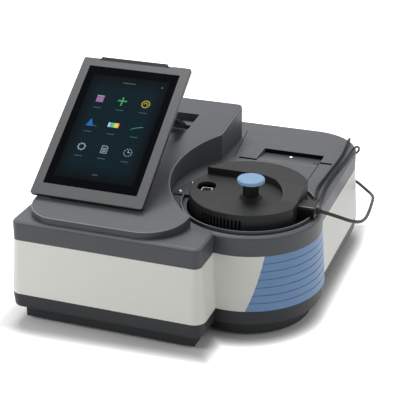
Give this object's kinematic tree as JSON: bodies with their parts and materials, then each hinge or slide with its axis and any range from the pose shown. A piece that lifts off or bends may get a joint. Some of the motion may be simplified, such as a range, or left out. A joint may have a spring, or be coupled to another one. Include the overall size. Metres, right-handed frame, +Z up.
{
  "type": "uv-vis spectrophotometer",
  "caption": "Bench spectrophotometer: tilting portrait touch screen on a sloped console, round cell changer with lift-off lid in a side well, and the optics, drive and electronics inside.",
  "frame": {"origin": "on the table under the middle of the case", "axes": "+X to the operator's right, +Y to the rear along the case, +Z up"},
  "size_m": [0.3672, 0.409, 0.2588],
  "materials": {
    "case_dark": "fine satin moulded plastic, dark grey",
    "deck_grey": "fine satin moulded plastic, mid grey",
    "shell_white": "smooth warm white moulded plastic",
    "accent_blue": "satin blue moulded plastic",
    "rubber": "matt black rubber",
    "bezel_grey": "satin grey plastic",
    "screen_glass": "black-backed gloss cover glass",
    "lcd": "display panel",
    "changer_black": "fine textured black plastic",
    "knob_blue": "satin light blue plastic",
    "steel": "bright steel",
    "aluminium": "machined aluminium",
    "black_plastic": "black plastic",
    "brass": "turned brass",
    "acetal": "white acetal gear plastic",
    "cell_glass": "clear quartz",
    "liquid": "clear sample liquid",
    "mirror": "front-silvered mirror on its stand",
    "board_green": "printed circuit board",
    "cable_black": "black cable jacket",
    "tube_black": "dark silicone tube",
    "zinc": "zinc plated sheet steel"
  },
  "bodies": {
    "case": {"accent_panel": "accent_blue", "base_tray": "case_dark", "bright_screws": "steel", "cable_gland": "black_plastic", "cable_plug": "black_plastic", "cable_socket": "black_plastic", "carousel_motor": "zinc", "carousel_spindle": "steel", "changer_bracket": "zinc", "changer_cable": "cable_black", "changer_housing": "changer_black", "connector_block": "black_plastic", "console_housing": "deck_grey", "curved_mirrors": "mirror", "fan_frame": "black_plastic", "filter_bracket": "aluminium", "flash_lamp": "aluminium", "flat_mirrors": "mirror", "grating_motor": "zinc", "hinge_ears": "zinc", "hinge_pin": "steel", "hose_fittings": "steel", "main_board": "board_green", "optical_bench": "aluminium", "power_inlet": "black_plastic", "power_supply": "zinc", "rear_panel": "case_dark", "reference_detector": "aluminium", "rubber_feet": "rubber", "sample_detector": "aluminium", "side_shell": "shell_white", "slit_plates": "aluminium", "switch_frame": "black_plastic", "top_cover": "deck_grey", "usb_sockets": "steel", "water_tube_a": "tube_black", "water_tube_b": "tube_black", "well_liner": "case_dark"},
    "screen": {"screen_bezel": "bezel_grey", "touch_glass": "screen_glass", "lcd_panel": "lcd", "screen_back_cover": "case_dark", "screen_board": "board_green", "prop_pin": "steel"},
    "prop": {"prop_leg": "case_dark"},
    "changer_lid": {"changer_cover": "changer_black", "knob_stem": "changer_black", "knob_cap": "knob_blue"},
    "turret": {"carousel": "aluminium", "drive_gear": "acetal", "cuvettes": "cell_glass", "liquid_samples": "liquid"},
    "pinion": {"motor_pinion": "brass", "motor_shaft": "steel"},
    "filter": {"filter_wheel": "aluminium", "filter_glasses": "cell_glass"},
    "grating_unit": {"grating_table": "aluminium", "grating": "mirror"},
    "fan": {"fan_rotor": "black_plastic"},
    "rocker": {"power_rocker": "black_plastic"}
  },
  "joints": [
    {"name": "screen_tilt", "type": "hinge", "parent": "case", "child": "screen", "pos_m": [-0.0876, -0.13619, 0.13952], "axis": [1, 0, 0], "range_deg": [-9.92, 4]},
    {"name": "prop_swing", "type": "hinge", "parent": "screen", "child": "prop", "pos_m": [-0.0876, -0.01623, 0.21405], "axis": [1, 0, 0], "range_deg": [-10.65, 25.66]},
    {"name": "lid_lift", "type": "slide", "parent": "case", "child": "changer_lid", "axis": [0, 0, 1], "range_m": [0, 0.06]},
    {"name": "turret_spin", "type": "hinge", "parent": "case", "child": "turret", "pos_m": [0.076, -0.063, 0.095], "axis": [0, 0, 1], "continuous": true},
    {"name": "pinion_spin", "type": "hinge", "parent": "case", "child": "pinion", "pos_m": [0.0985, -0.02403, 0.092], "axis": [0, 0, 1], "continuous": true},
    {"name": "filter_spin", "type": "hinge", "parent": "case", "child": "filter", "pos_m": [-0.118, 0.096, 0.092], "axis": [0, 1, 0], "continuous": true},
    {"name": "grating_turn", "type": "hinge", "parent": "case", "child": "grating_unit", "pos_m": [-0.066, 0.108, 0.066], "axis": [0, 0, 1], "range_deg": [-25, 25]},
    {"name": "fan_spin", "type": "hinge", "parent": "case", "child": "fan", "pos_m": [-0.095, 0.18, 0.072], "axis": [0, 1, 0], "continuous": true},
    {"name": "switch_rock", "type": "hinge", "parent": "case", "child": "rocker", "pos_m": [0, 0.187, 0.072], "axis": [1, 0, 0], "range_deg": [0, 9]}
  ],
  "couplings": [
    {"joint": "prop_swing", "follows": "screen_tilt", "ratio": -2.5365},
    {"joint": "pinion_spin", "follows": "turret_spin", "ratio": -4}
  ]
}
